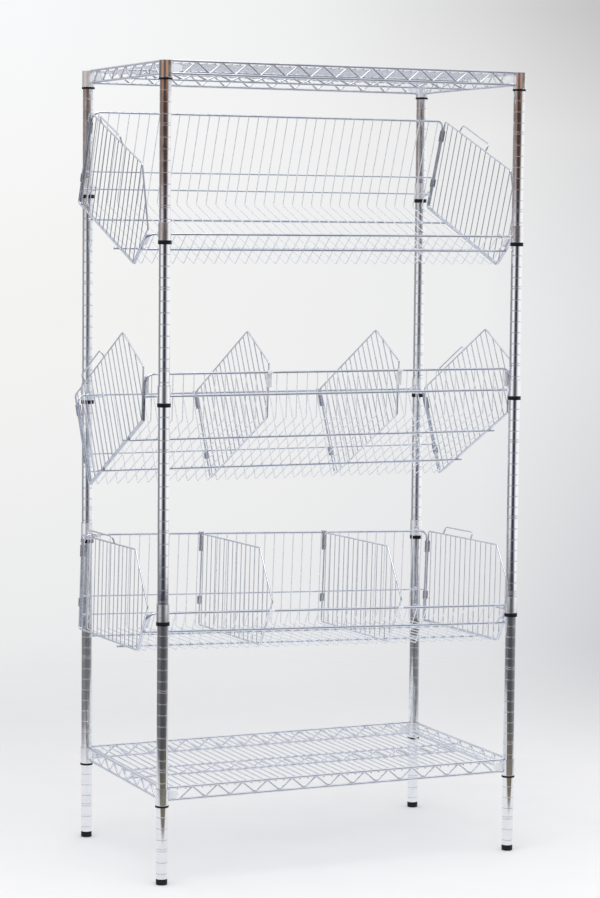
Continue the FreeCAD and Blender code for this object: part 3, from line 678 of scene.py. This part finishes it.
def perimeter(b):
    """The rim: one rod along both top edges, bent down the ends and under the floor's ends, a closed loop."""
    k = BODY_X
    corners = [L(-k, on_back(BACK_TOP)), L(k, on_back(BACK_TOP)), L(k, P5), L(k, P4), L(k, on_front(FRONT_TOP)),
               L(-k, on_front(FRONT_TOP)), L(-k, P4), L(-k, P5)]
    line = bend(corners, [CORNER_R, CORNER_R, FOLD_R, FOLD_R, CORNER_R, CORNER_R, FOLD_R, FOLD_R], 8, closed=True)
    rad = []
    for q in line:
        side = abs(q[0])
        f = min(1.0, max(0.0, (side - (k - CORNER_R)) / CORNER_R))
        rad.append(ROD_R + (END_R - ROD_R) * f)
    tube(b, line, rad, 16, closed=True)


def basket_body(b):
    perimeter(b)
    for s in (BACK_MID, BACK_LOW):
        tube(b, [L(-BODY_X, on_back(s, OUT_THIN)), L(BODY_X, on_back(s, OUT_THIN))], THIN_R, 12)
    tube(b, [L(-BODY_X - 2.4, on_front(FRONT_MID, OUT_ROD)), L(BODY_X + 2.4, on_front(FRONT_MID, OUT_ROD))], ROD_R, 16)
    for u in FLOOR_RODS:
        tube(b, [L(-BODY_X - 14.0, (u, -OUT_ROD)), L(BODY_X + 14.0, (u, -OUT_ROD))], ROD_R, 16)


def mesh_wires(b):
    for x in wires_x():
        line = bend([L(x, on_back(BACK_TOP - 0.8)), L(x, P5), L(x, P4), L(x, on_front(FRONT_TOP - 0.8))], FOLD_R, 6)
        tube(b, line, WIRE_R, 10)


def inset_corner(p, d1, n1, o1, q, d2, n2, o2):
    ax, ay = p[0] + n1[0] * o1, p[1] + n1[1] * o1
    bx, by = q[0] + n2[0] * o2, q[1] + n2[1] * o2
    det = d1[0] * (-d2[1]) - (-d2[0]) * d1[1]
    t = ((bx - ax) * (-d2[1]) - (-d2[0]) * (by - ay)) / det
    return (ax + d1[0] * t, ay + d1[1] * t)


def panel(b, x, back_in=0.0, floor_in=0.0, front_in=0.0):
    c5 = inset_corner(P5, EB, NB, -back_in, P5, (1, 0), (0, 1), floor_in)
    c4 = inset_corner(P4, EF, NF, -front_in, P4, (1, 0), (0, 1), floor_in)
    c1 = inset_corner(P5, EB, NB, -back_in, P1, unit(P1, P2), (0, 1), 0.0)
    c3 = inset_corner(P4, EF, NF, -front_in, P3, unit(P3, P2), (0, 1), 0.0)
    c2 = P2
    tube(b, bend([L(x, c) for c in (c5, c4, c3, c2, c1)], [7.0, 8.0, 6.0, 9.0, 7.0], 8, closed=True), PANEL_R, 14,
         closed=True)

    def top_at(u):
        a, c = (c1, c2) if u <= c2[0] else (c2, c3)
        return a[1] + (c[1] - a[1]) * (u - a[0]) / (c[0] - a[0])

    def low_at(u):
        if u <= c4[0]:
            return c5[1]
        return c4[1] + (c3[1] - c4[1]) * (u - c4[0]) / (c3[0] - c4[0])

    u = 14.0 + PANEL_PITCH * 0.25
    while u < c3[0] - 14.0:
        if top_at(u) - low_at(u) > 16.0 and u > c1[0] + 5.0:
            tube(b, [L(x, (u, low_at(u) - 0.9)), L(x, (u, top_at(u) + 0.9))], PANEL_WIRE_R, 10, chamfer=0.3)
        u += PANEL_PITCH


def handle(b, x):
    e = unit(P1, P2)
    n = (-e[1], e[0])
    span = math.hypot(P2[0] - P1[0], P2[1] - P1[1])
    a = (P1[0] + e[0] * span * 0.22, P1[1] + e[1] * span * 0.22)
    c = (P1[0] + e[0] * span * 0.62, P1[1] + e[1] * span * 0.62)
    lean = math.radians(23.0)
    side = 1 if x > 0 else -1
    pts = []
    for foot, up in ((a, PANEL_R - 0.6), (a, 18.5), (c, 18.5), (c, PANEL_R - 0.6)):
        h = up * math.cos(lean)
        pts.append((x + side * up * math.sin(lean), -(foot[0] + n[0] * h), foot[1] + n[1] * h))
    tube(b, bend(pts, 8.5, 8), 1.9, 14)


CLIP_W, CLIP_T = 11.0, 1.2
CLIP_IN = ROD_R + 0.35


def clip_plate(b, x0, x1, s0, s1, on, inward, t=CLIP_T):
    """Flat strip against a wall, with rounded ends."""
    w, h = (x1 - x0) / 2, (s1 - s0) / 2
    outline = round_poly([(-w, -h), (w, -h), (w, h), (-w, h)], 2.2, 4)
    xm, sm = (x0 + x1) / 2, (s0 + s1) / 2
    prism(b, outline, lambda a, c, d: L(xm + a, on(sm + c, -inward - t + d)), 0.0, t, 0.22)


def hook_over(b, x0, x1, s_rod, r, on, drop_in, drop_out):
    """Strip bent round the rim: a round bend over the rod, long leg inside."""
    g, t = 0.35, CLIP_T
    i0, i1 = r + g, r + g + t
    top = s_rod + r + g
    outline = [(s_rod - drop_in, -i0), (s_rod - drop_in, -i1), (top + t, -i1), (top + t, i1), (s_rod - drop_out, i1),
               (s_rod - drop_out, i0), (top, i0), (top, -i0)]
    outline = round_poly(outline, [0.3, 0.3, 2.6, 2.6, 0.3, 0.3, 1.5, 1.5], 6)
    prism(b, outline, lambda a, c, w: L(w, on(a, c)), x0, x1, 0.22)


def end_clips(b, front, sg):
    xo = PANEL_X + PANEL_R + 0.05
    xi = BODY_X - END_R - 0.05
    t, depth, g = CLIP_T, 3.4, 0.05
    for s0, s1 in ((BACK_TOP - 52.0, BACK_TOP - 24.0), (54.0, 74.0)):
        prof = [(xi - t, -depth), (xi, -depth), (xi, END_R + g), (xo, END_R + g), (xo, -depth), (xo + t, -depth),
                (xo + t, END_R + g + t), (xi - t, END_R + g + t)]
        prof = round_poly(prof, [0.3, 0.3, 0.7, 0.7, 0.3, 0.3, 1.7, 1.7], 5)
        prism(b, prof, lambda a, c, w: L(sg * a, on_back(w, c)), s0, s1, 0.25)
    x0, x1 = sorted((sg * (BODY_X - 10.5), sg * (PANEL_X - PANEL_R - 0.05)))
    clip_plate(front, x0, x1, 61.5, 99.0, on_front, END_R + 0.4)


for t in TIERS:
    rot, move, rod_y = basket_place(t)
    nm, body = t + "_basket_", t + "_basket"

    def put(build):
        out = Build()
        out.merge(build, rot, move)
        return out

    places = tier_places(t)
    piece(nm + "sleeve_halves", sleeves(TALL_TIER, RING_TIER, places), M_SLEEVE, "rack",
          [nm + "split_sleeves"])
    # the rear collars wear the painted-light copy of the collar chrome
    for row, mat in (("front", M_COLLAR), ("rear", M_COLLAR_REAR_PAINTED_LIGHT)):
        b = Build()
        for p, inside in zip(places, TIERS[t]["inside"]):
            if (p[1] < 0) == (row == "front"):
                collar(b, *p, RING_TIER + 0.2, 47.6)
                hook(b, *p, math.degrees(math.atan2(inside, POST_D / 2 - rod_y)))
        piece(nm + row + "_collars_with_hooks", b, mat, "rack", [nm + "hook_collars"])
    b = Build()
    basket_body(b)
    body_nodes = [nm + "back_mesh", nm + "floor_mesh", nm + "front_mesh"]
    piece(nm + "rim_and_rods", put(b), M_BASKET, body, body_nodes)
    b = Build()
    mesh_wires(b)
    piece(nm + "mesh_wires", put(b), M_WIRE_PAINTED_LIGHT, body, body_nodes)
    handles, clips, fronts = Build(), Build(), Build()
    for side, sg in (("left", -1), ("right", 1)):
        b = Build()
        panel(b, sg * PANEL_X, 0.0, 1.3, 0.0)
        piece(nm + side + "_end_panel", put(b), M_PANEL, body, [nm + side + "_end"])
        handle(handles, sg * PANEL_X)
        end_clips(clips, fronts, sg)
    piece(nm + "bail_handles", put(handles), M_PANEL, body, [nm + "handles"])
    piece(nm + "rear_end_clip_channels", put(clips), M_SPRING, body, [nm + "end_clips"])
    piece(nm + "front_end_clip_plates", put(fronts), M_CLIP_PAINTED_LIGHT, body, [nm + "end_clips"])
    if t != "upper":
        for side, x in (("left", DIVIDERS[0]), ("right", DIVIDERS[1])):
            own = nm + side + "_divider"
            b = Build()
            panel(b, x, DIVIDER_INSET, DIVIDER_RAISE, DIVIDER_INSET)
            piece(own + "_panel", put(b), M_PANEL, own, [own])
            w = CLIP_W / 2
            b = Build()
            hook_over(b, x - w, x + w, BACK_TOP, ROD_R, on_back, 42.0, 2.0)
            clip_plate(b, x - w, x + w, 54.0, 74.0, on_back, CLIP_IN)
            piece(own + "_rear_clip_strips", put(b), M_SPRING, own, [own + "_clips"])
            b = Build()
            hook_over(b, x - w - 1.0, x + w + 1.0, FRONT_TOP, ROD_R, on_front, 34.0, 2.0)
            piece(own + "_front_clip_strip", put(b), M_CLIP_PAINTED_LIGHT, own, [own + "_clips"])

# what stays from the CAD: the threaded inserts inside the posts
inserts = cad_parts["levelling_inserts"]
inserts.data.materials.clear()
inserts.data.materials.append(M_ZINC)

# --------------------------------------------------------------------- stage
# tones that the chrome mirrors, and how they follow each other round the rack; 0 is the front, positive to the right
WHITE, PALE, GREY, DULL, ASH = ((0.99, 0.99, 1.0), (0.78, 0.78, 0.79), (0.26, 0.26, 0.28), (0.15, 0.15, 0.16),
                                (0.075, 0.075, 0.085))
OLIVE, SLATE, HAZE = (0.16, 0.145, 0.105), (0.26, 0.275, 0.33), (0.66, 0.67, 0.70)
NAVY, DUSK, BROWN, UMBER, COPPER = ((0.035, 0.038, 0.062), (0.09, 0.10, 0.15), (0.23, 0.155, 0.125), (0.055, 0.036, 0.032),
                                    (0.50, 0.245, 0.135))
HAZE_STOPS = [(-180, PALE), (-152, GREY), (-112, DULL), (-84, DUSK), (-60, NAVY), (4, NAVY), (24, DUSK), (42, PALE),
              (58, WHITE), (180, PALE)]
LOW_STOPS = [(-180, PALE), (-155, GREY), (-120, DULL), (-80, DULL), (-50, ASH), (8, ASH), (45, DULL), (82, GREY), (125, PALE),
             (180, PALE)]


def disk(radius, rings, seg=96):
    verts, faces = [(0.0, 0.0, 0.0)], []
    for k in range(1, rings + 1):
        r = radius * k / rings
        verts += [(r * math.cos(2 * math.pi * i / seg), r * math.sin(2 * math.pi * i / seg), 0.0) for i in range(seg)]
    for i in range(seg):
        faces.append((0, 1 + i, 1 + (i + 1) % seg))
    for k in range(1, rings):
        a, b = 1 + (k - 1) * seg, 1 + k * seg
        for i in range(seg):
            q = (i + 1) % seg
            faces.append((a + i, b + i, b + q, a + q))
    return verts, faces


v, f = disk(4.6, 10)
me = bpy.data.meshes.new("studio_floor")
me.from_pydata(v, [], f)
me.update()
floor = bpy.data.objects.new("studio_floor", me)
floor.location = (0.0, 0.0, -0.0004)
bpy.context.scene.collection.objects.link(floor)

m = bpy.data.materials.new("studio_floor_paper")
m.use_nodes = True
nt = m.node_tree
nt.nodes.clear()
N = nt.nodes.new
link = nt.links.new
out = N("ShaderNodeOutputMaterial")
co = N("ShaderNodeTexCoord")
sep = N("ShaderNodeSeparateXYZ")
link(co.outputs["Object"], sep.inputs["Vector"])
length = N("ShaderNodeVectorMath")
length.operation = "LENGTH"
link(co.outputs["Object"], length.inputs[0])
paper = N("ShaderNodeBsdfPrincipled")
paper.inputs["Roughness"].default_value = 0.85
paper.inputs["Specular IOR Level"].default_value = 0.15
grain = ramp(nt, noise(nt, 6.0, 4.0), [(0.3, (0.975, 0.98, 0.985)), (0.7, (1.0, 1.0, 1.0))])
# painted shade on the floor paper: it darkens from the front towards the back, under and behind the rack
depth = ramp(nt, ranged(nt, sep.outputs["Y"], 0.0, 1.0, -0.9, 1.7),
             [(0.0, (0.94, 0.94, 0.945)), (0.45, (0.89, 0.89, 0.90)), (1.0, (0.79, 0.79, 0.80))])
tint = N("ShaderNodeMix")
tint.data_type = "RGBA"
tint.blend_type = "MULTIPLY"
tint.inputs["Factor"].default_value = 1.0
link(depth, tint.inputs[6])
link(grain, tint.inputs[7])
link(tint.outputs[2], paper.inputs["Base Color"])
clear = N("ShaderNodeBsdfTransparent")
fade = ranged(nt, length.outputs["Value"], 0.0, 1.0, 1.25, 3.2)
edge = N("ShaderNodeMixShader")
link(fade, edge.inputs["Fac"])
link(paper.outputs["BSDF"], edge.inputs[1])
link(clear.outputs["BSDF"], edge.inputs[2])
# what the chrome sees of the floor, a painted reflection: for glossy rays the floor glows with pale paper under the
# rack, a dull studio floor round it, lighter to the right
turn = N("ShaderNodeMath")
turn.operation = "ARCTAN2"
flip = N("ShaderNodeMath")
flip.operation = "MULTIPLY"
flip.inputs[1].default_value = -1.0
link(sep.outputs["Y"], flip.inputs[0])
link(sep.outputs["X"], turn.inputs[0])
link(flip.outputs["Value"], turn.inputs[1])
turn01 = N("ShaderNodeMath")
turn01.operation = "MULTIPLY_ADD"
turn01.inputs[1].default_value = 1 / (2 * math.pi)
turn01.inputs[2].default_value = 0.5
link(turn.outputs["Value"], turn01.inputs[0])
around = ramp(nt, turn01.outputs["Value"], [((a + 180.0) / 360.0, c) for a, c in LOW_STOPS])
front = N("ShaderNodeMix")
front.data_type = "RGBA"
front.inputs[6].default_value = (0.80, 0.81, 0.84, 1)
front.inputs[7].default_value = (*OLIVE, 1)
link(ranged(nt, flip.outputs["Value"], 0.0, 1.0, 0.64, 0.82), front.inputs["Factor"])
spread = N("ShaderNodeMix")
spread.data_type = "RGBA"
link(front.outputs[2], spread.inputs[6])
link(ranged(nt, length.outputs["Value"], 0.0, 1.0, 1.3, 1.9), spread.inputs["Factor"])
link(around, spread.inputs[7])
seen = N("ShaderNodeEmission")
link(spread.outputs[2], seen.inputs["Color"])
lp = N("ShaderNodeLightPath")
pick = N("ShaderNodeMixShader")
link(lp.outputs["Is Glossy Ray"], pick.inputs["Fac"])
link(edge.outputs["Shader"], pick.inputs[1])
link(seen.outputs["Emission"], pick.inputs[2])
link(pick.outputs["Shader"], out.inputs["Surface"])
floor.data.materials.append(m)

# world: a pale backdrop with painted shade, darker to the right and towards the bottom, soft white light, and the
# studio that the chrome mirrors
world = bpy.data.worlds.new("studio")
bpy.context.scene.world = world
world.use_nodes = True
nt = world.node_tree
nt.nodes.clear()
N = nt.nodes.new
link = nt.links.new


def math_node(op, a, b=None, c=None):
    n = N("ShaderNodeMath")
    n.operation = op
    for i, q in enumerate((a, b, c)):
        if q is None:
            continue
        if isinstance(q, (int, float)):
            n.inputs[i].default_value = q
        else:
            link(q, n.inputs[i])
    return n.outputs["Value"]


def mix_colour(fac, a, b):
    n = N("ShaderNodeMix")
    n.data_type = "RGBA"
    link(fac, n.inputs["Factor"])
    for key, q in ((6, a), (7, b)):
        if isinstance(q, tuple):
            n.inputs[key].default_value = (*q, 1)
        else:
            link(q, n.inputs[key])
    return n.outputs[2]


out = N("ShaderNodeOutputWorld")
co = N("ShaderNodeTexCoord")
sep = N("ShaderNodeSeparateXYZ")
link(co.outputs["Generated"], sep.inputs["Vector"])
# azimuth 0 is towards the front, positive to the right
az = math_node("ARCTAN2", sep.outputs["X"], math_node("MULTIPLY", sep.outputs["Y"], -1.0))
az01 = math_node("MULTIPLY_ADD", az, 1 / (2 * math.pi), 0.5)
el = math_node("MULTIPLY", math_node("ARCSINE", sep.outputs["Z"]), 180 / math.pi)


def round_ramp(stops):
    """Colour by azimuth in degrees, with soft edges."""
    return ramp(nt, az01, [((a + 180.0) / 360.0, c) for a, c in stops])


mid = round_ramp([(-180, GREY), (-116, GREY), (-100, PALE), (-86, WHITE), (-70, WHITE), (-40, DUSK), (-26, NAVY), (-2, NAVY),
                  (30, PALE), (54, WHITE), (150, WHITE), (166, GREY), (180, GREY)])
high = round_ramp([(-180, GREY), (-118, BROWN), (-78, BROWN), (-54, UMBER), (6, UMBER), (22, BROWN), (42, PALE),
                   (62, WHITE), (150, WHITE), (166, GREY), (180, GREY)])
crown = round_ramp([(-180, GREY), (-112, UMBER), (-92, COPPER), (-66, COPPER), (-50, UMBER), (-24, UMBER), (-8, COPPER),
                    (16, COPPER), (32, UMBER), (78, UMBER), (104, PALE), (150, WHITE), (166, GREY), (180, GREY)])
low = round_ramp(HAZE_STOPS)
c = mix_colour(ranged(nt, el, 0.0, 1.0, -0.4, 0.9), mid, high)
c = mix_colour(ranged(nt, el, 0.0, 1.0, 2.7, 3.5), c, crown)
c = mix_colour(ranged(nt, el, 0.0, 1.0, -6.4, -8.0), c, low)
above = round_ramp([(-180, HAZE), (-142, HAZE), (-118, SLATE), (118, SLATE), (142, HAZE), (180, HAZE)])
c = mix_colour(ranged(nt, el, 0.0, 1.0, 5.4, 7.0), c, above)
c = mix_colour(ranged(nt, el, 0.0, 1.0, 42.0, 55.0), c, (1.05, 1.05, 1.06))
lp = N("ShaderNodeLightPath")
diffuse = N("ShaderNodeBackground")
diffuse.inputs["Color"].default_value = (1.0, 1.0, 1.0, 1)
diffuse.inputs["Strength"].default_value = 0.93
mirror = N("ShaderNodeBackground")
link(c, mirror.inputs["Color"])
mirror.inputs["Strength"].default_value = 1.0
plain = N("ShaderNodeBackground")


def across(left, centre, side, right):
    """Backdrop tone by azimuth, with painted shade: it falls off to the right across the camera's view, and is even all
    the way round.
    """
    return round_ramp([(-180, centre), (118, centre), (149.3, right), (151.5, side), (155.8, centre), (162.3, left),
                       (178, centre), (180, centre)])


# painted shade on the backdrop: darker to the right and towards the bottom
high_back = across((0.95, 0.955, 0.97), (0.87, 0.88, 0.875), (0.68, 0.675, 0.68), (0.54, 0.535, 0.54))
upper_back = across((0.94, 0.94, 0.94), (0.88, 0.885, 0.88), (0.82, 0.82, 0.82), (0.69, 0.69, 0.70))
mid_back = across((0.90, 0.90, 0.89), (0.865, 0.865, 0.865), (0.845, 0.85, 0.855), (0.735, 0.745, 0.76))
low_back = across((0.82, 0.825, 0.835), (0.81, 0.815, 0.83), (0.73, 0.735, 0.755), (0.60, 0.605, 0.63))
seen_back = mix_colour(ranged(nt, el, 0.0, 1.0, -1.7, 1.9), mid_back, upper_back)
seen_back = mix_colour(ranged(nt, el, 0.0, 1.0, 1.9, 4.5), seen_back, high_back)
seen_back = mix_colour(ranged(nt, el, 0.0, 1.0, -3.0, -10.3), seen_back, low_back)
link(seen_back, plain.inputs["Color"])
a = N("ShaderNodeMixShader")
link(lp.outputs["Is Glossy Ray"], a.inputs["Fac"])
link(diffuse.outputs["Background"], a.inputs[1])
link(mirror.outputs["Background"], a.inputs[2])
b = N("ShaderNodeMixShader")
link(lp.outputs["Is Camera Ray"], b.inputs["Fac"])
link(a.outputs["Shader"], b.inputs[1])
link(plain.outputs["Background"], b.inputs[2])
link(b.outputs["Shader"], out.inputs["Surface"])


def softbox(name, where, target, size, power):
    light = bpy.data.lights.new(name, "AREA")
    light.shape = "RECTANGLE"
    light.size, light.size_y = size
    light.energy = power
    ob = bpy.data.objects.new(name, light)
    ob.location = where
    ob.rotation_mode = "QUATERNION"
    ob.rotation_quaternion = (Vector(target) - Vector(where)).to_track_quat("-Z", "Y")
    ob.visible_camera = False
    bpy.context.scene.collection.objects.link(ob)
    return ob


softbox("overhead_softbox", (-0.6, -0.9, 3.6), (0.0, 0.0, 0.6), (2.4, 1.8), 26.0)

# -------------------------------------------------------------------- camera
cam_data = bpy.data.cameras.new("camera")
cam_data.sensor_fit = "AUTO"
cam_data.sensor_width = 36.0
cam_data.lens = 106.07
cam_data.clip_start, cam_data.clip_end = 0.1, 60.0
cam_data.dof.use_dof = False
cam = bpy.data.objects.new("camera", cam_data)
yaw, pitch, roll = 0.4222, -0.0859, 0.0096
fwd = Vector((math.sin(yaw) * math.cos(pitch), math.cos(yaw) * math.cos(pitch), math.sin(pitch)))
right = Vector((math.cos(yaw), -math.sin(yaw), 0.0))
up = right.cross(fwd)
r2 = math.cos(roll) * right + math.sin(roll) * up
u2 = -math.sin(roll) * right + math.cos(roll) * up
rot3 = Matrix((r2, u2, -fwd)).transposed()
cam.matrix_world = Matrix.Translation((-2.5221, -5.6430, 1.4718)) @ rot3.to_4x4()
bpy.context.scene.collection.objects.link(cam)
bpy.context.scene.camera = cam

scene = bpy.context.scene
scene.view_settings.view_transform = "Standard"
scene.view_settings.look = "None"
scene.view_settings.exposure = 0.0
scene.view_settings.gamma = 1.0
